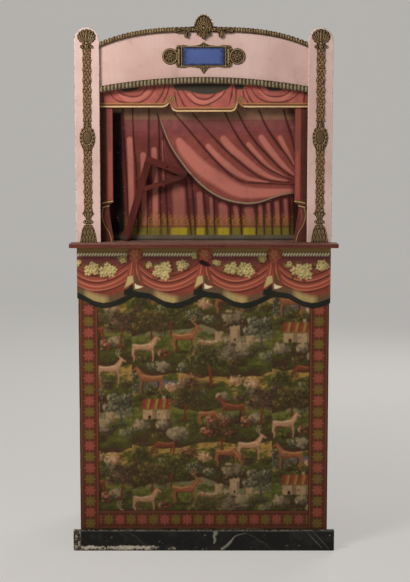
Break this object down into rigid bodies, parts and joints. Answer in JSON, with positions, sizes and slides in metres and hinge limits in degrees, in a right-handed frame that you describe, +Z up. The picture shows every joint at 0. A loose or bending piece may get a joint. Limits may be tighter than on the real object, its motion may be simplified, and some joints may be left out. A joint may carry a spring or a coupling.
{
  "type": "puppet theatre stand",
  "caption": "Free-standing puppet theatre front with a scenic papered base, pink arched proscenium, roll-up painted curtain, playboard and folding side wings.",
  "frame": {"origin": "on the floor, under the middle of the whole stand", "axes": "+Z up, +X to the right as the audience sees it, +Y from the audience towards the back"},
  "size_m": [0.882, 0.56, 1.79],
  "materials": {
    "marbled_plinth": "wooden plinth boards painted as dark green marble with pale veins, satin varnish",
    "tapestry_paper": "board papered with an aged printed verdure pattern and a flowered border, matt",
    "border_paper": "printed swag border on thin card, matt, slightly embossed",
    "pink_paint": "wooden boards with aged dusty pink distemper, matt, worn at the edges",
    "maroon_paint": "wooden playboard painted maroon, worn on top",
    "gilt_card": "embossed gilt pasteboard ornament, dulled brown gold",
    "blue_paint": "thin board painted greyish blue, matt",
    "drapery_paint": "cut-out board painted as red drapery with gold trim, matt",
    "curtain_canvas": "painted canvas of a roll-up curtain, matt",
    "bare_wood": "unpainted aged softwood",
    "dark_wood": "dark red-brown painted wood",
    "old_brass": "dulled brass of hinges, brackets and screw"
  },
  "bodies": {
    "stand": {"plinth_front_board": "marbled_plinth", "plinth_end_block": "marbled_plinth", "lower_panel": "tapestry_paper", "scalloped_border": "border_paper", "left_side_board": "pink_paint", "right_side_board": "pink_paint", "left_pilaster": "pink_paint", "right_pilaster": "pink_paint", "fronton": "pink_paint", "playboard": "maroon_paint", "fronton_arch_moulding": "gilt_card", "fronton_top_trim": "gilt_card", "crest": "gilt_card", "cartouche_frame": "gilt_card", "left_pilaster_shell": "gilt_card", "left_pilaster_upper_strip": "gilt_card", "left_pilaster_medallion": "gilt_card", "left_pilaster_lower_strip": "gilt_card", "left_pilaster_foot": "gilt_card", "right_pilaster_shell": "gilt_card", "right_pilaster_upper_strip": "gilt_card", "right_pilaster_medallion": "gilt_card", "right_pilaster_lower_strip": "gilt_card", "right_pilaster_foot": "gilt_card", "cartouche_plate": "blue_paint", "valance_board": "drapery_paint", "left_drapery_leg": "drapery_paint", "right_drapery_leg": "drapery_paint", "painted_curtain": "curtain_canvas", "panel_bottom_batten": "bare_wood", "panel_top_batten": "bare_wood", "lower_tie_rail": "bare_wood", "top_rail": "bare_wood", "prop_foot_block": "dark_wood", "left_roller_bracket": "old_brass", "right_roller_bracket": "old_brass", "prop_pivot_screw": "old_brass", "left_hinge_fixed_leaf": "old_brass", "left_hinge_pin": "old_brass", "right_hinge_fixed_leaf": "old_brass", "right_hinge_pin": "old_brass"},
    "left_wing": {"left_wing_board": "pink_paint", "left_wing_bottom_ledge": "bare_wood", "left_wing_middle_ledge": "bare_wood", "left_wing_top_ledge": "bare_wood", "left_hinge_moving_leaf": "old_brass"},
    "right_wing": {"right_wing_board": "pink_paint", "right_wing_bottom_ledge": "bare_wood", "right_wing_middle_ledge": "bare_wood", "right_wing_top_ledge": "bare_wood", "right_hinge_moving_leaf": "old_brass"},
    "curtain_foot": {"curtain_batten": "bare_wood"},
    "roller": {"curtain_roller": "bare_wood"},
    "prop": {"prop_post": "dark_wood", "prop_beam": "dark_wood", "prop_brace": "dark_wood"}
  },
  "joints": [
    {"name": "left_wing_fold", "type": "hinge", "parent": "stand", "child": "left_wing", "pos_m": [-0.3967, -0.1, 0.86], "axis": [0, 0, -1], "range_deg": [0, 90]},
    {"name": "right_wing_fold", "type": "hinge", "parent": "stand", "child": "right_wing", "pos_m": [0.3967, -0.1, 0.86], "axis": [0, 0, 1], "range_deg": [0, 90]},
    {"name": "curtain_lift", "type": "slide", "parent": "stand", "child": "curtain_foot", "axis": [0, 0, 1], "range_m": [0, 0.42], "deforming": ["painted_curtain"]},
    {"name": "roller_turn", "type": "hinge", "parent": "stand", "child": "roller", "pos_m": [0, -0.13, 1.6], "axis": [1, 0, 0], "range_deg": [-1720, 0]},
    {"name": "prop_swing", "type": "hinge", "parent": "stand", "child": "prop", "pos_m": [-0.258, -0.169, 1.0598], "axis": [0, 1, 0], "range_deg": [-16.3, 45]}
  ],
  "couplings": [
    {"joint": "roller_turn", "follows": "curtain_lift", "rad_per_m": -71.2}
  ]
}
